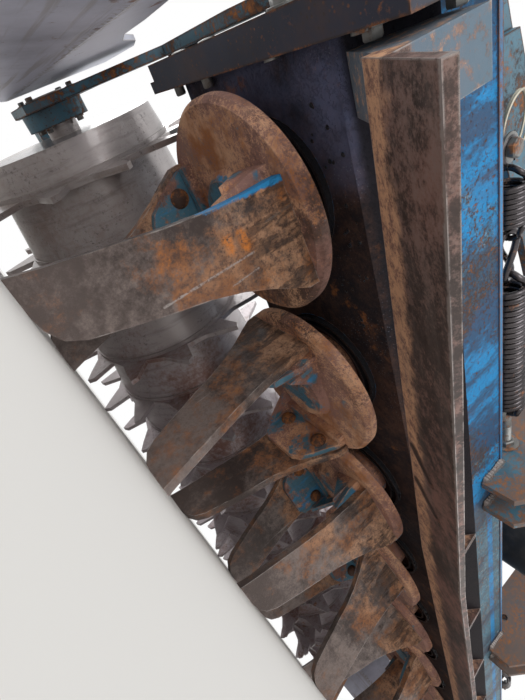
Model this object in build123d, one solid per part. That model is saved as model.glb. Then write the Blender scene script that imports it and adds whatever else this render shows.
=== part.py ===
from build123d import *
import math
import os

os.makedirs("parts", exist_ok=True)

# Power harrow, 2.5 m working width, with a toothed packer roller.
# Frame: X runs along the machine, +Y is the front (direction of travel), +Z is up.
# The origin lies on the ground, under the middle of the machine's outer box.
# Lengths are in millimetres, angles in degrees.

# Driving dimensions
rotor_count = 8
rotor_pitch = 300.0
floor_height = 340.0
roller_radius = 250.0
running_gap = 0.3

# Trough that carries the rotors
trough_floor_half = 140.0
trough_wall_half = 200.0
bevel_rise = 75.0
trough_depth = 160.0
cover_thickness = 8.0
cover_overhang = 2.0
seal_outer_radius = 97.5
seal_inner_radius = 84.0
seal_rib = 5.0
seal_drop = 9.0

# End plates and the bars bolted outside them
end_plate_thickness = 15.0
end_plate_front = 240.0
end_plate_rear = 205.0
end_plate_drop = 18.0
end_bar_thickness = 20.0
end_bar_height = 62.0
end_bar_margin = 14.0

# Rotors
neck_radius = 62.0
disc_radius = 140.0
disc_thickness = 24.0
disc_drop = 44.0
disc_edge_bevel = 6.0
neck_flare = 12.0
boss_radius = 52.0
boss_bevel = 10.0
boss_drop = 12.0
web_inner = 86.0
web_thickness = 12.0
web_height = 80.0
web_outline = [
    # across toward the trailing side, share of the web's height below the disc
    (-78.0, 0.00),
    (-76.0, 0.18),
    (-57.0, 0.62),
    (-42.0, 0.90),
    (-28.0, 1.00),
    (34.0, 1.00),
    (46.0, 0.90),
    (57.0, 0.30),
    (57.0, 0.00),
]
rib_gap = 2.5
rib_thickness = 12.5
rib_height = 13.0
fin_across = 53.0
fin_thickness = 9.0
fin_height = 56.0
fin_inner = 38.0
# Azimuth of each rotor's first tine, from the left end to the right end
tine_azimuths = [102.0, 3.0, 72.0, 33.0, 54.0, 68.0, 5.0, 83.0]

# Knife tines
tine_thickness = 16.0
tine_hole_drop = 29.0
tine_hole_across = [-44.0, 32.0]
tine_hole_radius = 8.0
tine_outline = [
    # across toward the trailing side, share of the height below the disc
    (-82.0, 0.000),
    (-81.0, 0.055),
    (-70.0, 0.130),
    (-55.0, 0.225),
    (-40.0, 0.340),
    (-28.0, 0.460),
    (-19.0, 0.590),
    (-7.0, 0.745),
    (6.0, 0.900),
    (16.0, 0.960),
    (32.0, 0.993),
    (48.0, 1.000),
    (82.0, 1.000),
    (75.0, 0.890),
    (65.0, 0.700),
    (55.0, 0.510),
    (48.0, 0.330),
    (45.0, 0.170),
    (44.0, 0.000),
]

# Front bar: a flat plate, straight from the left, bent and twisted toward the right end
bar_thickness = 10.0
bar_gap_y = 20.0
bar_drop = 34.0
bar_width = 105.0
bar_pitch_down = 17.7
bar_kink_x = 370.0
bar_end_gap_y = 69.0
bar_end_drop = 39.0
bar_end_width = 125.0
bar_end_pitch_down = 29.6
bar_end_margin = 15.0
bar_sink = 2.0
hanger_count = 5
hanger_margin = 60.0
hanger_thickness = 12.0
hanger_foot_rise = 10.0
hanger_tip = 50.0
end_hanger_width = 56.0
end_hanger_reach = 245.0

# Roller
ring_pitch = 125.0
ring_count = 19
ring_thickness = 10.0
drum_small_radius = 168.0
drum_rim_radius = 183.0
drum_rim_width = 8.0
drum_rim_step = 3.0
tooth_count = 12
tooth_root_radius = 186.0
tooth_outline = [
    # share of the tooth step back from the steep edge, share of the tooth height
    (0.00, 0.00),
    (0.04, 0.84),
    (0.13, 1.00),
    (0.28, 0.66),
    (0.55, 0.16),
]
stub_radius = 30.0

# Roller frame
pivot_y = 0.0
pivot_rise = 78.0
pivot_radius = 20.0
roller_back = 498.0
cross_tube_side = 50.0
cross_tube_back = 287.0
cross_tube_rise = 125.0
gusset_side = 70.0
gusset_thickness = 10.0
arm_thickness = 15.0
arm_gap = 4.0
pivot_end = 8.0
bearing_radius = 58.0
bearing_length = 30.0
scraper_tube_back = 40.0
scraper_tube_rise = 40.0
scraper_tube_side = 50.0
scraper_gap = 6.0
scraper_thickness = 8.0
scraper_width = 96.0

# Headstock
link_spacing = 835.0
link_plate_thickness = 15.0
link_plate_gap = 60.0
link_plate_front = 330.0
link_plate_back = 60.0
link_plate_foot = 100.0
link_plate_cut = 70.0
link_bore_radius = 14.3
link_bore_inset = 45.0
link_bore_rise = 255.0
link_plate_nose = 60.0
link_plate_rise = 470.0
mast_gap = 52.0
mast_thickness = 15.0
mast_height = 200.0
mast_reach = 150.0
mast_top_back = 90.0
mast_nose = 60.0
mast_rear_drop = 80.0
top_bore_radius = 12.7
top_bore_y = 115.0
top_bore_drop = 35.0
beam_side = 100.0
beam_rear = 112.0
beam_overhang = 50.0
lug_plate = 10.0
lug_half = 45.0
lug_below = 40.0
lug_clearance = 1.0
brace_radius = 24.0
brace_top_x = 260.0
brace_foot_x = 330.0
brace_foot_back = 150.0
brace_foot_height = 20.0
brace_foot_length = 90.0
brace_foot_width = 70.0
brace_top_inset = 6.0

# Gearbox and input shaft
gearbox_length = 300.0
gearbox_width = 270.0
gearbox_height = 230.0
gearbox_bevel = 50.0
gearbox_flange = 24.0
gearbox_flange_thickness = 22.0
neck_length = 30.0
gearbox_neck_radius = 72.0
rear_cover_radius = 62.0
rear_cover_length = 26.0
shaft_radius = 17.4
shaft_reach = 100.0
shaft_rise = 120.0
guard_radius = 85.0
guard_wall = 4.0
guard_length = 120.0

# Side plates, their arms and springs
side_gap = 10.0
side_thickness = 8.0
side_front = 330.0
side_rear = 560.0
side_bottom = 95.0
side_strip_height = 100.0
side_flare = 14.0
side_outline = [
    # share of the way from the front end to the rear end, height above the fold
    (0.000, 20.0),
    (0.202, 45.0),
    (0.427, 78.0),
    (0.507, 82.0),
    (0.596, 112.0),
    (0.697, 172.0),
    (0.820, 216.0),
    (1.000, 216.0),
]
side_pivot_x = 600.0
side_pivot_rise = 425.0
side_arm_end_rise = 192.0
side_arm_thickness = 12.0
side_arm_height = 60.0
side_arm_y = 146.0
side_pin_radius = 15.0
leg_thickness = 10.0
leg_width = 70.0
bracket_thickness = 10.0
spring_y = 188.0
spring_rise = 205.0
spring_bolt_x = 1020.0
spring_bolt_radius = 9.0
link_rod_radius = 7.0
eye_bolt_radius = 9.0
spring_table = [
    # start x, end x, outer radius
    (545.0, 851.0, 29.0),
    (896.0, 1000.0, 25.0),
]

# Sizes that follow
trough_half = rotor_count * rotor_pitch / 2
trough_top = floor_height + trough_depth
cover_top = trough_top + cover_thickness
rotor_places = [(index - (rotor_count - 1) / 2) * rotor_pitch for index in range(rotor_count)]
end_inner = trough_half
end_outer = trough_half + end_plate_thickness
bar_outer = end_outer + end_bar_thickness
pivot_z = floor_height + pivot_rise
arm_inner_x = bar_outer + arm_gap
arm_outer_x = arm_inner_x + arm_thickness
disc_top = floor_height - disc_drop
disc_bottom = disc_top - disc_thickness
roller_half = ring_pitch * ring_count / 2
scraper_tube_y = -(roller_back + roller_radius + scraper_gap + scraper_tube_side / 2 + scraper_tube_back)
scraper_tube_z = roller_radius + scraper_tube_rise
rear_reach = -(scraper_tube_y - scraper_tube_side / 2)
front_reach = max(link_plate_front, side_front)
blade_inner = web_inner + web_thickness
ring_places = [(index - (ring_count - 1) / 2) * ring_pitch for index in range(ring_count)]
beam_bottom = floor_height + link_plate_rise
mast_top = beam_bottom + beam_side + mast_height
rotor_line_y = (rear_reach - front_reach) / 2


def place(shape):
    """Moves a shape built about the rotor line into the part's frame."""
    return Pos(0, rotor_line_y, 0) * shape


def block(x0, x1, y0, y1, z0, z1):
    """A box between two corners."""
    return Pos((x0 + x1) / 2, (y0 + y1) / 2, (z0 + z1) / 2) * Box(x1 - x0, y1 - y0, z1 - z0)


def slab_yz(points, x0, x1):
    """A plate square to X with an outline given as (y, z) points."""
    outline = Plane.YZ.offset(x0) * Polyline(*points, close=True)
    return extrude(make_face(outline), x1 - x0, dir=(1, 0, 0))


def slab_xz(points, y0, y1):
    """A plate square to Y with an outline given as (x, z) points."""
    outline = [Vector(x, y0, z) for x, z in points]
    return extrude(make_face(Polyline(*outline, close=True)), y1 - y0, dir=(0, 1, 0))


def rod_x(x0, x1, y, z, radius):
    """A round bar along X."""
    return Pos((x0 + x1) / 2, y, z) * Rot(0, 90, 0) * Cylinder(radius, x1 - x0)


def rod_y(y0, y1, x, z, radius):
    """A round bar along Y."""
    return Pos(x, (y0 + y1) / 2, z) * Rot(90, 0, 0) * Cylinder(radius, y1 - y0)


def rod_z(z0, z1, x, y, radius):
    """A round bar along Z."""
    return Pos(x, y, (z0 + z1) / 2) * Cylinder(radius, z1 - z0)


def mirrored(shape, side):
    """The shape itself on the +X side, its mirror image on the -X side."""
    return shape if side > 0 else mirror(shape, about=Plane.YZ)


def save(name, *solids):
    """Writes one node's STEP file, of one or more solids that don't touch."""
    placed = [place(solid) for solid in solids]
    node = placed[0] if len(placed) == 1 else Compound(children=placed)
    export_step(node, f"parts/{name}.step")


def bevel_run(rise):
    """How far the trough's bevel leans out at a height above its floor."""
    return (trough_wall_half - trough_floor_half) * rise / bevel_rise


def build_trough():
    section = [
        (-trough_floor_half, floor_height),
        (trough_floor_half, floor_height),
        (trough_wall_half, floor_height + bevel_rise),
        (trough_wall_half, trough_top),
        (-trough_wall_half, trough_top),
        (-trough_wall_half, floor_height + bevel_rise),
    ]
    trough = slab_yz(section, -trough_half, trough_half)
    for x in rotor_places:
        for radius in (seal_outer_radius, seal_inner_radius):
            ring = rod_z(floor_height - seal_drop, floor_height, x, 0, radius)
            ring -= rod_z(floor_height - seal_drop, floor_height, x, 0, radius - seal_rib)
            trough += ring
    return trough


def build_cover():
    half_width = trough_wall_half + cover_overhang
    return block(-trough_half, trough_half, -half_width, half_width, trough_top, cover_top)


def build_end_plate(side):
    plate = block(end_inner, end_outer, -end_plate_rear, end_plate_front,
                  floor_height - end_plate_drop, cover_top)
    bar = block(end_outer, bar_outer, -end_plate_rear + end_bar_margin, end_plate_front,
                floor_height - end_plate_drop, floor_height - end_plate_drop + end_bar_height)
    pivot = rod_x(end_outer, arm_outer_x + pivot_end, pivot_y, pivot_z, pivot_radius)
    return mirrored(plate + bar + pivot, side)


def build_holder(trail_sign):
    """Neck, disc and boss, with a web, a rib and a fin for each of the two tines."""
    profile = [
        (0, floor_height - running_gap),
        (neck_radius, floor_height - running_gap),
        (neck_radius, disc_top + boss_bevel),
        (disc_radius - neck_flare, disc_top),
        (disc_radius, disc_top - disc_edge_bevel),
        (disc_radius, disc_bottom + disc_edge_bevel),
        (disc_radius - disc_edge_bevel, disc_bottom),
        (boss_radius + boss_bevel, disc_bottom),
        (boss_radius, disc_bottom - boss_drop),
        (0, disc_bottom - boss_drop),
    ]
    outline = Polyline(*[Vector(r, 0, z) for r, z in profile], close=True)
    holder = revolve(make_face(outline), Axis.Z, 360)
    web_points = [(trail_sign * across, disc_bottom - share * web_height) for across, share in web_outline]
    web = slab_xz(web_points, web_inner, blade_inner)
    for across in tine_hole_across:
        web -= rod_y(web_inner - 1.0, blade_inner + 1.0, trail_sign * across,
                     disc_bottom - tine_hole_drop, tine_hole_radius)
    rib_outer = web_inner - rib_gap
    rib_ends = sorted((web_points[0][0], web_points[-1][0]))
    rib = block(rib_ends[0], rib_ends[1], rib_outer - rib_thickness, rib_outer,
                disc_bottom - rib_height, disc_bottom)
    fin_points = [
        (fin_inner, disc_bottom),
        (web_inner, disc_bottom),
        (web_inner, disc_bottom - fin_height),
    ]
    fin_middle = trail_sign * fin_across
    fin = slab_yz(fin_points, fin_middle - fin_thickness / 2, fin_middle + fin_thickness / 2)
    for turn in (0, 180):
        holder += Rot(0, 0, turn) * (web + rib + fin)
    return holder


def build_tines(trail_sign):
    """Two knife tines, each a flat blade that trails from its head to its tip."""
    outline = [(trail_sign * across, disc_bottom * (1.0 - share)) for across, share in tine_outline]
    blade = slab_xz(outline, blade_inner, blade_inner + tine_thickness)
    for across in tine_hole_across:
        blade -= rod_y(blade_inner - 1.0, blade_inner + tine_thickness + 1.0, trail_sign * across,
                       disc_bottom - tine_hole_drop, tine_hole_radius)
    return [blade, Rot(0, 0, 180) * blade]


def bar_outline(gap_y, drop, width, pitch_down):
    """The four corners of the front bar's cross-section as (y, z) points."""
    angle = math.radians(pitch_down)
    y = trough_floor_half + gap_y
    z = floor_height - drop
    along = (width * math.cos(angle), -width * math.sin(angle))
    up = (bar_thickness * math.sin(angle), bar_thickness * math.cos(angle))
    return [
        (y, z),
        (y + along[0], z + along[1]),
        (y + along[0] + up[0], z + along[1] + up[1]),
        (y + up[0], z + up[1]),
    ]


def bar_face(points, x):
    return make_face(Polyline(*[Vector(x, y, z) for y, z in points], close=True))


def bar_top(points, y):
    """Height of the bar's upper face above a place across it."""
    y0, z0 = points[3]
    y1, z1 = points[2]
    return z0 + (z1 - z0) * (y - y0) / (y1 - y0)


def build_front_bar():
    x_far = -(trough_half - bar_end_margin)
    x_near = trough_half - bar_end_margin
    straight = bar_outline(bar_gap_y, bar_drop, bar_width, bar_pitch_down)
    end = bar_outline(bar_end_gap_y, bar_end_drop, bar_end_width, bar_end_pitch_down)
    bar = slab_yz(straight, x_far, bar_kink_x)
    bar += loft([bar_face(straight, bar_kink_x), bar_face(end, x_near)], ruled=True)
    foot = (trough_floor_half + bevel_run(hanger_foot_rise), floor_height + hanger_foot_rise)
    shoulder = (trough_wall_half, floor_height + bevel_rise)
    tip_y = straight[3][0] + hanger_tip
    heel_y = straight[3][0] + 1.0
    hanger = [
        foot,
        shoulder,
        (tip_y, bar_top(straight, tip_y) - bar_sink),
        (heel_y, bar_top(straight, heel_y) - bar_sink),
    ]
    step = (bar_kink_x - x_far - 2 * hanger_margin) / (hanger_count - 1)
    for index in range(hanger_count):
        x = x_far + hanger_margin + index * step
        bar += slab_yz(hanger, x - hanger_thickness / 2, x + hanger_thickness / 2)
    heel_y = end[3][0] + bar_sink
    end_hanger = [
        foot,
        shoulder,
        (end_hanger_reach, shoulder[1] - bar_sink),
        (end_hanger_reach, bar_top(end, end_hanger_reach) - bar_sink),
        (heel_y, bar_top(end, heel_y) - bar_sink),
    ]
    bar += slab_yz(end_hanger, x_near - end_hanger_width, x_near)
    return bar


def build_gearbox():
    half_x = gearbox_length / 2
    half_y = gearbox_width / 2
    top = cover_top + gearbox_height
    section = [
        (-half_x, cover_top),
        (half_x, cover_top),
        (half_x, top - gearbox_bevel),
        (half_x - gearbox_bevel, top),
        (-half_x + gearbox_bevel, top),
        (-half_x, top - gearbox_bevel),
    ]
    box = slab_xz(section, -half_y, half_y)
    reach_x = half_x + gearbox_flange
    reach_y = half_y + gearbox_flange
    box += block(-reach_x, reach_x, -reach_y, reach_y, cover_top, cover_top + gearbox_flange_thickness)
    shaft_z = cover_top + shaft_rise
    box += rod_y(half_y, half_y + neck_length, 0, shaft_z, gearbox_neck_radius)
    box += rod_y(-half_y - rear_cover_length, -half_y, 0, shaft_z, rear_cover_radius)
    return box


def build_input_shaft():
    start = gearbox_width / 2 + neck_length + running_gap
    return rod_y(start, start + shaft_reach, 0, cover_top + shaft_rise, shaft_radius)


def build_guard():
    start = gearbox_width / 2
    guard = rod_y(start, start + guard_length, 0, cover_top + shaft_rise, guard_radius)
    guard -= rod_y(start - 1.0, start + guard_length + 1.0, 0, cover_top + shaft_rise,
                   guard_radius - guard_wall)
    return guard


def link_plate_faces():
    """Inner faces of the two plates of one lower link, nearest the middle first."""
    centre = link_spacing / 2
    half = link_plate_gap / 2
    return [centre - half - link_plate_thickness, centre + half]


def build_link_plates(side):
    plates = []
    for x in link_plate_faces():
        back = trough_wall_half - link_plate_back
        edge = trough_wall_half + cover_overhang
        bore_z = floor_height + link_bore_rise
        foot_z = floor_height + link_plate_foot
        outline = [
            (back, cover_top),
            (edge, cover_top),
            (edge, foot_z),
            (link_plate_front - link_plate_cut, foot_z),
            (link_plate_front, bore_z - link_plate_nose),
            (link_plate_front, bore_z + link_plate_nose),
            (link_plate_front - link_plate_foot, beam_bottom),
            (back, beam_bottom),
        ]
        plate = slab_yz(outline, x, x + link_plate_thickness)
        plate -= rod_x(x - 1.0, x + link_plate_thickness + 1.0, link_plate_front - link_bore_inset,
                       bore_z, link_bore_radius)
        plate -= rod_x(x - 1.0, x + link_plate_thickness + 1.0, spring_y,
                       floor_height + spring_rise, eye_bolt_radius + 0.3)
        plates.append(mirrored(plate, side))
    return plates


def build_beam():
    half = side_pivot_x + beam_overhang
    beam = block(-half, half, beam_rear, beam_rear + beam_side, beam_bottom, beam_bottom + beam_side)
    pivot_height = floor_height + side_pivot_rise
    rear_face = side_arm_y - side_arm_thickness / 2 - lug_clearance
    front_face = side_arm_y + side_arm_thickness / 2 + lug_clearance
    for side in (-1, 1):
        x = side * side_pivot_x
        for y0, y1 in ((rear_face - lug_plate, rear_face), (front_face, front_face + lug_plate)):
            beam += block(x - lug_half, x + lug_half, y0, y1, pivot_height - lug_below, beam_bottom)
        beam += rod_y(rear_face - lug_plate, front_face + lug_plate, x, pivot_height, side_pin_radius)
    return beam


def build_mast():
    base_z = beam_bottom + beam_side
    y0 = beam_rear
    plates = []
    for side in (-1, 1):
        x0 = side * mast_gap / 2
        x1 = x0 + side * mast_thickness
        outline = [
            (y0, base_z),
            (y0 + beam_side, base_z),
            (y0 + mast_reach, mast_top - mast_nose),
            (y0 + mast_reach, mast_top),
            (y0 + mast_top_back, mast_top),
            (y0, mast_top - mast_rear_drop),
        ]
        plate = slab_yz(outline, min(x0, x1), max(x0, x1))
        plate -= rod_x(min(x0, x1) - 1.0, max(x0, x1) + 1.0, y0 + top_bore_y,
                       mast_top - top_bore_drop, top_bore_radius)
        plates.append(plate)
    return plates


def tube_between(start, end, radius):
    """A round bar between two points."""
    a = Vector(*start)
    b = Vector(*end)
    direction = (b - a).normalized()
    return extrude(Plane(origin=a, z_dir=direction) * Circle(radius), (b - a).length)


def build_braces():
    """Round braces from the beam's rear face down to feet on the trough's cover."""
    braces = []
    middle_z = beam_bottom + beam_side / 2
    foot_z = cover_top + brace_foot_height
    for side in (-1, 1):
        top = (side * brace_top_x, beam_rear + brace_top_inset, middle_z)
        foot = (side * brace_foot_x, -brace_foot_back, foot_z)
        brace = tube_between(top, foot, brace_radius)
        brace += block(foot[0] - brace_foot_length / 2, foot[0] + brace_foot_length / 2,
                       foot[1] - brace_foot_width / 2, foot[1] + brace_foot_width / 2,
                       cover_top, foot_z + brace_top_inset)
        brace -= block(top[0] - beam_side, top[0] + beam_side, beam_rear, beam_rear + beam_side,
                       beam_bottom, beam_bottom + beam_side)
        brace -= block(foot[0] - beam_side, foot[0] + beam_side, foot[1] - beam_side,
                       foot[1] + beam_side, trough_top, cover_top)
        braces.append(brace)
    return braces


def build_roller_frame():
    z = floor_height + cross_tube_rise
    half_tube = cross_tube_side / 2
    frame = block(-arm_outer_x, arm_outer_x, -cross_tube_back - half_tube, -cross_tube_back + half_tube,
                  z - half_tube, z + half_tube)
    bar_z = scraper_tube_z
    for side in (-1, 1):
        arm = [
            (pivot_y + 45.0, pivot_z - 30.0),
            (pivot_y + 45.0, pivot_z + 30.0),
            (pivot_y - 40.0, pivot_z + 60.0),
            (-cross_tube_back - 60.0, z + 45.0),
            (-roller_back + 40.0, roller_radius + 90.0),
            (scraper_tube_y, bar_z + 45.0),
            (scraper_tube_y, bar_z - 45.0),
            (-roller_back - 60.0, roller_radius - 60.0),
            (-roller_back + 60.0, roller_radius - 60.0),
            (-cross_tube_back, z - 60.0),
            (pivot_y - 40.0, pivot_z - 50.0),
        ]
        plate = slab_yz(arm, arm_inner_x, arm_outer_x)
        plate -= rod_x(arm_inner_x - 1.0, arm_outer_x + 1.0, pivot_y, pivot_z, pivot_radius + running_gap)
        plate += rod_x(arm_inner_x - bearing_length, arm_inner_x, -roller_back, roller_radius,
                       bearing_radius)
        plate -= rod_x(arm_inner_x - bearing_length - 1.0, arm_outer_x + 1.0, -roller_back,
                       roller_radius, stub_radius + running_gap)
        low = z - half_tube
        corner_y = -cross_tube_back - half_tube
        gusset = extrude(make_face(Polyline(
            Vector(arm_inner_x, corner_y, low),
            Vector(arm_inner_x - gusset_side, corner_y, low),
            Vector(arm_inner_x, corner_y - gusset_side / 2, low),
            close=True)), gusset_thickness, dir=(0, 0, 1))
        frame += mirrored(plate + gusset, side)
    return frame


def build_scraper_bar():
    half = scraper_tube_side / 2
    return block(-arm_inner_x, arm_inner_x, scraper_tube_y - half, scraper_tube_y + half,
                 scraper_tube_z - half, scraper_tube_z + half)


def build_scrapers():
    """A blade for each drum section between two tooth rings."""
    blades = []
    z = scraper_tube_z + scraper_tube_side / 2
    reach = math.sqrt((drum_rim_radius + scraper_gap) ** 2 - (z - roller_radius) ** 2)
    rear = scraper_tube_y - scraper_tube_side / 2
    for x in ring_places[:-1]:
        middle = x + ring_pitch / 2
        blades.append(block(middle - scraper_width / 2, middle + scraper_width / 2,
                            rear, -roller_back - reach, z, z + scraper_thickness))
    return blades


def build_drum():
    """Flared sections, each widest at its left end behind a rolled rim."""
    half = ring_thickness / 2
    profile = [(-roller_half, 0.0), (-roller_half, drum_rim_radius - drum_rim_step)]
    for x in ring_places:
        profile.append((x - half, drum_small_radius))
        profile.append((x + half, drum_small_radius))
        profile.append((x + half, drum_rim_radius))
        profile.append((x + half + drum_rim_width, drum_rim_radius))
        profile.append((x + half + drum_rim_width, drum_rim_radius - drum_rim_step))
    profile.append((roller_half, drum_small_radius + drum_rim_step))
    profile.append((roller_half, 0.0))
    outline = Polyline(*[Vector(x, 0, r) for x, r in profile], close=True)
    drum = revolve(make_face(outline), Axis.X, 360)
    drum += rod_x(-arm_outer_x - arm_gap, arm_outer_x + arm_gap, 0, 0, stub_radius)
    return Pos(0, -roller_back, roller_radius) * drum


def tooth_points(start):
    """Outline of a ring plate: steep edges and long hollow backs, as (y, z) points."""
    step = 360.0 / tooth_count
    height = roller_radius - tooth_root_radius
    points = []
    for index in range(tooth_count):
        for share, rise in tooth_outline:
            angle = math.radians(start - (index + share) * step)
            radius = tooth_root_radius + rise * height
            points.append((radius * math.cos(angle), radius * math.sin(angle)))
    return points


def build_rings():
    """Tooth rings, every second one turned by half a tooth."""
    rings = []
    half = ring_thickness / 2
    step = 360.0 / tooth_count
    tip_share = tooth_outline[2][0]
    for index, x in enumerate(ring_places):
        start = -90.0 + (tip_share + 0.5 * (index % 2)) * step
        ring = slab_yz(tooth_points(start), x - half, x + half)
        ring -= rod_x(x - ring_thickness, x + ring_thickness, 0, 0, drum_small_radius)
        rings.append(Pos(0, -roller_back, roller_radius) * ring)
    return rings


def side_plate_x():
    return arm_outer_x + pivot_end + side_gap


def build_side_plate(side):
    x0 = side_plate_x()
    strip_top = side_bottom + side_strip_height
    upper = [(-side_rear, strip_top), (side_front, strip_top)]
    reach = side_front + side_rear
    upper += [(side_front - share * reach, strip_top + rise) for share, rise in side_outline]
    plate = slab_yz(upper, x0, x0 + side_thickness)
    lean = side_strip_height * math.tan(math.radians(side_flare))
    strip = [
        (x0, strip_top),
        (x0 + side_thickness, strip_top),
        (x0 + side_thickness + lean, side_bottom),
        (x0 + lean, side_bottom),
    ]
    plate += slab_xz(strip, -side_rear, side_front)
    return mirrored(plate, side)


def build_side_arm(side):
    """The sloping arm that carries one side plate, with its spring bracket and leg."""
    x0 = side_pivot_x
    z0 = floor_height + side_pivot_rise
    x1 = side_plate_x() + side_thickness + leg_thickness
    z1 = floor_height + side_arm_end_rise
    slope = math.atan2(z1 - z0, x1 - x0)
    length = math.hypot(x1 - x0, z1 - z0)
    half = side_arm_height / 2
    y0 = side_arm_y - side_arm_thickness / 2
    y1 = side_arm_y + side_arm_thickness / 2
    arm = slab_xz([(-half, -half), (length - half * 0.4, -half), (length + half * 0.4, half), (-half, half)],
                  y0, y1)
    arm = Pos(x0, 0, z0) * Rot(0, -math.degrees(slope), 0) * arm
    leg_low = side_bottom + side_strip_height + 8.0
    arm += block(x1 - leg_thickness, x1, side_arm_y - leg_width / 2, side_arm_y + leg_width / 2,
                 leg_low, z1)
    z_spring = floor_height + spring_rise
    bracket = [
        (spring_bolt_x - 22.0, z_spring - 24.0),
        (spring_bolt_x + 20.0, z_spring - 24.0),
        (spring_bolt_x + 110.0, z_spring - 4.0),
        (spring_bolt_x + 110.0, z_spring + 70.0),
        (spring_bolt_x + 40.0, z_spring + 96.0),
        (spring_bolt_x - 22.0, z_spring + 100.0),
    ]
    arm += slab_xz(bracket, y1, y1 + bracket_thickness)
    arm -= rod_y(y0 - 1.0, y1 + 1.0, x0, z0, side_pin_radius + 0.05)
    bolt_end = spring_y + 12.0
    arm += rod_y(y1, bolt_end, spring_bolt_x, z_spring, spring_bolt_radius)
    return mirrored(arm, side)


def build_springs(side):
    """Two tension springs in series with their link and end hook, in their outer form."""
    z = floor_height + spring_rise
    chain = rod_x(spring_table[0][1] - 1.0, spring_bolt_x - spring_bolt_radius - running_gap,
                  spring_y, z, link_rod_radius)
    for x0, x1, radius in spring_table:
        chain += rod_x(x0, x1, spring_y, z, radius)
    return mirrored(chain, side)


def build_eye_bolt(side):
    z = floor_height + spring_rise
    start = link_plate_faces()[1] - 22.0
    bolt = rod_x(start, spring_table[0][0], spring_y, z, eye_bolt_radius)
    return mirrored(bolt, side)


def write_parts():
    save("trough", build_trough())
    save("trough_cover", build_cover())
    save("front_bar", build_front_bar())
    save("gearbox", build_gearbox())
    save("input_shaft", build_input_shaft())
    save("shaft_guard", build_guard())
    save("headstock_beam", build_beam())
    save("headstock_mast", *build_mast())
    save("headstock_braces", *build_braces())
    save("roller_frame", build_roller_frame())
    save("scraper_bar", build_scraper_bar())
    save("scrapers", *build_scrapers())
    save("roller_drum", build_drum())
    save("roller_teeth", *build_rings())
    for index, x in enumerate(rotor_places):
        spin = 1 if index % 2 else -1
        turned = Pos(x, 0, 0) * Rot(0, 0, tine_azimuths[index % len(tine_azimuths)] - 90.0)
        save(f"rotor_{index + 1}_holder", turned * build_holder(spin))
        save(f"rotor_{index + 1}_tines", *[turned * tine for tine in build_tines(spin)])
    for side, word in ((1, "right"), (-1, "left")):
        save(f"end_plate_{word}", build_end_plate(side))
        save(f"link_plates_{word}", *build_link_plates(side))
        save(f"side_plate_{word}", build_side_plate(side))
        save(f"side_arm_{word}", build_side_arm(side))
        save(f"springs_{word}", build_springs(side))
        save(f"eye_bolt_{word}", build_eye_bolt(side))


write_parts()
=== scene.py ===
"""Finish of the power harrow: its materials, springs, bolts, welds and the stage it stands on."""

import math
from functools import partial

import bmesh
import bpy
import numpy as np
from bpy.props import FloatProperty, FloatVectorProperty, IntProperty, PointerProperty
from mathutils import Matrix, Vector


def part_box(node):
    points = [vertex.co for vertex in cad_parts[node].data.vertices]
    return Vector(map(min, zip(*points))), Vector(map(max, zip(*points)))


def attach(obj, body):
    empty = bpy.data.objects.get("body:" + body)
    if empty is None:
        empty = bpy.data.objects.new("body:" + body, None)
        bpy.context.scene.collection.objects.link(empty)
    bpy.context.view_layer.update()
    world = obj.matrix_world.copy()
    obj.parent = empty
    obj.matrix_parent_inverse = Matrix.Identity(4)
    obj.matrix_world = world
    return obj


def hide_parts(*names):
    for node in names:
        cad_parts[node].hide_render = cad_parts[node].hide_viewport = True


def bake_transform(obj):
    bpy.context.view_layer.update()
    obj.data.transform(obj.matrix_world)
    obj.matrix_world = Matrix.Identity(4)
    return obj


bl_info = {
    "name": "Power harrow finish",
    "version": (1, 0, 0),
    "blender": (4, 5, 0),
    "location": "3D View > Sidebar > Harrow",
    "description": "Builds the finishes and small fittings of the power harrow on its frame",
    "category": "Object",
}

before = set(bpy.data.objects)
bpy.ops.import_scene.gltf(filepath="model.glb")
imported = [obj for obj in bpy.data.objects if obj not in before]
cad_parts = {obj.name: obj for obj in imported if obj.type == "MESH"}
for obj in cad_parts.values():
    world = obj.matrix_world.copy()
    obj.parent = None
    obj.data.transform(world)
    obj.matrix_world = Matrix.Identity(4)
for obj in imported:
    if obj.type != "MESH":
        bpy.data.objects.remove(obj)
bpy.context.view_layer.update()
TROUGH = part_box("trough")
LINE = (TROUGH[0].y + TROUGH[1].y) / 2  # the line of the rotor axes
FLOOR = TROUGH[1].z - 0.160  # the underside of the trough
COVER = 0.508  # the top of the trough's cover
PITCH = 0.300  # from one rotor axis to the next
DISC = 0.272  # the underside of the rotor discs
FORK = 0.0862  # from a rotor's axis to the inner faces of its tines
END, BAR = 1.200, 1.235  # the inner faces of the end plates, the outer faces of the bars bolted to them
SPRING_Y, SPRING_Z = 0.188, 0.545  # the line of the springs
SHAFT_Z = 0.628  # height of the input shaft
ROLLER_Y, ROLLER_Z = -0.498, 0.250  # the roller's axis
RINGS = 0.125  # from one tooth ring to the next
TURN = 2 * math.pi
UP = np.array((0.0, 0.0, 1.0))
SIDES = (("right", 1), ("left", -1))


def tone(red, green, blue):
    """A colour on the 0 to 255 scale as the linear values that shaders take."""
    c = np.array((red, green, blue)) / 255.0
    return tuple(float(v) for v in np.where(c <= 0.04045, c / 12.92, ((c + 0.055) / 1.055) ** 2.4))


def colour(name, text, red, green, blue):
    return FloatVectorProperty(name=name, description=text, default=tone(red, green, blue), min=0, max=1,
                               size=3, subtype="COLOR")


def length(name, text, default):
    return FloatProperty(name=name, description=text, default=default, min=0, unit="LENGTH")


def count(name, text, default):
    return IntProperty(name=name, description=text, default=default, min=3)


def vector(name, text, default, **kind):
    return FloatVectorProperty(name=name, description=text, default=default, size=3, **kind)


# ---- Sizes and colours ----


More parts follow.
